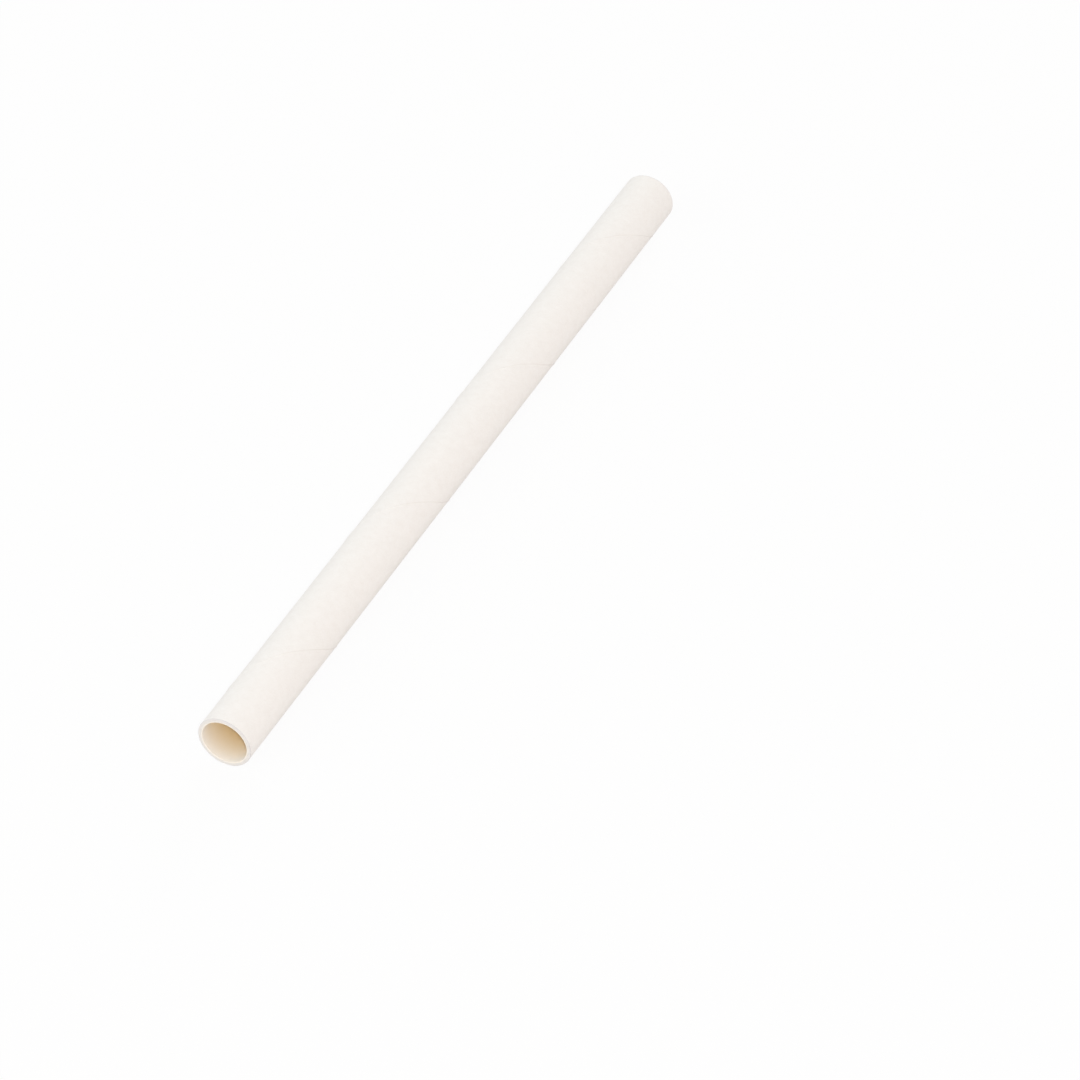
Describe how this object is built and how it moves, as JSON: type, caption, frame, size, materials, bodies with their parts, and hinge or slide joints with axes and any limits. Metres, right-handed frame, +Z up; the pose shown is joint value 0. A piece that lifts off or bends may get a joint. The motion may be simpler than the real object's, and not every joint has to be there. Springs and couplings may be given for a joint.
{
  "type": "paper drinking straw",
  "caption": "Plain white paper drinking straw: a round tube wound from spiral strip, with a right-handed butt seam and square cut ends.",
  "frame": {"origin": "middle of the straw's length, on the line where it touches the surface that it lies on", "axes": "+X along the straw, from the mouth end that faces the viewer to the far end; +Z up from the surface"},
  "size_m": [0.197, 0.012, 0.012],
  "materials": {
    "paper": "uncoated matt white paper with fine fibres"
  },
  "bodies": {
    "root": {"straw_tube": "paper"}
  },
  "joints": []
}
